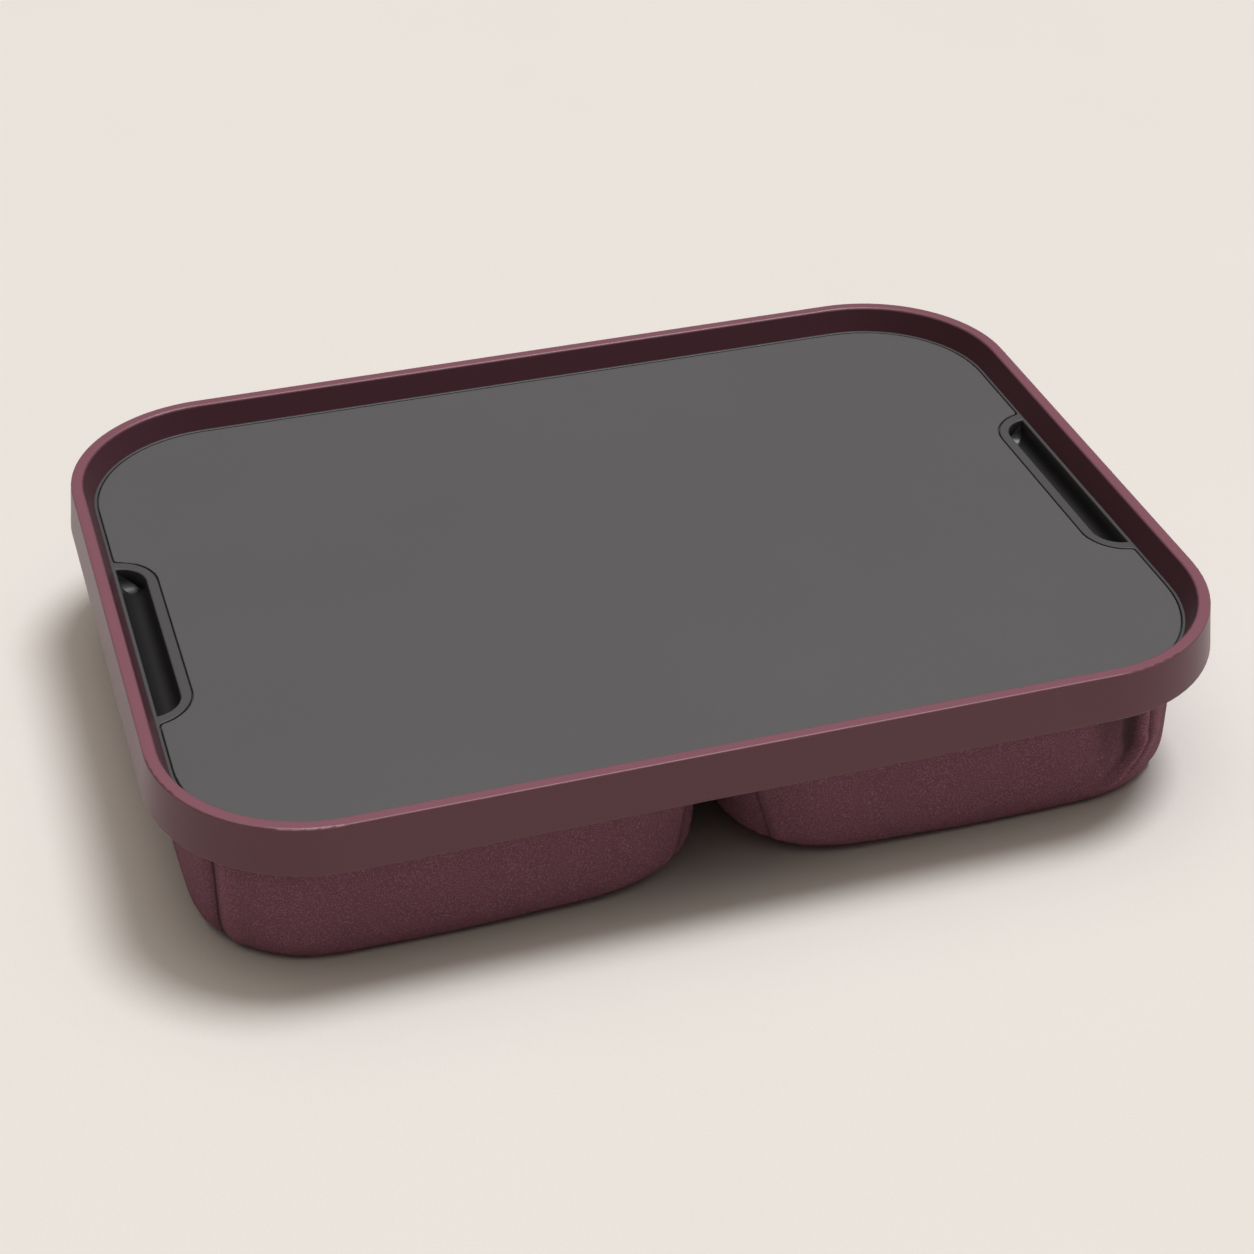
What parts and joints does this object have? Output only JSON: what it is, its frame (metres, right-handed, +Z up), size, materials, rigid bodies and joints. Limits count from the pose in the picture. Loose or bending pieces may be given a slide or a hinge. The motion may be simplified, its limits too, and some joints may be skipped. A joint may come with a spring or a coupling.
{
  "type": "lap tray with cushion",
  "caption": "Rectangular lap tray with a raised rounded rim, an inset lift-out mat and finger wells, on two pull-off fabric cushions.",
  "frame": {"origin": "on the surface it stands on, under the middle of the tray", "axes": "+X along the tray's long side to the user's right, +Y away from the user, +Z up"},
  "size_m": [0.4398, 0.3248, 0.08],
  "materials": {
    "rim_plastic": "satin, fine moulded grain",
    "deck_plastic": "satin",
    "mat": "matte, fine pebbled grain",
    "panel_plastic": "satin",
    "screw_steel": "plated",
    "cushion_fabric": "short soft pile",
    "backing_fabric": "plain weave",
    "board": "raw",
    "filling": "loose fibre",
    "fastener": "hook and loop"
  },
  "bodies": {
    "tray": {"rim_frame": "rim_plastic", "tray_deck": "deck_plastic", "underside_panel": "panel_plastic", "panel_screws": "screw_steel", "left_hook_strips": "fastener", "right_hook_strips": "fastener"},
    "mat": {"surface_mat": "mat"},
    "left_cushion": {"left_cushion_main_panel": "cushion_fabric", "left_cushion_outer_end_panel": "cushion_fabric", "left_cushion_inner_end_panel": "cushion_fabric", "left_cushion_top_panel": "backing_fabric", "left_cushion_backing_board": "board", "left_cushion_filling": "filling", "left_loop_strips": "fastener"},
    "right_cushion": {"right_cushion_main_panel": "cushion_fabric", "right_cushion_outer_end_panel": "cushion_fabric", "right_cushion_inner_end_panel": "cushion_fabric", "right_cushion_top_panel": "backing_fabric", "right_cushion_backing_board": "board", "right_cushion_filling": "filling", "right_loop_strips": "fastener"}
  },
  "joints": [
    {"name": "mat_lift", "type": "slide", "parent": "tray", "child": "mat", "axis": [0, 0, 1], "range_m": [0, 0.03]},
    {"name": "left_cushion_detach", "type": "slide", "parent": "tray", "child": "left_cushion", "axis": [0, 0, -1], "range_m": [0, 0.05]},
    {"name": "right_cushion_detach", "type": "slide", "parent": "tray", "child": "right_cushion", "axis": [0, 0, -1], "range_m": [0, 0.05]}
  ]
}
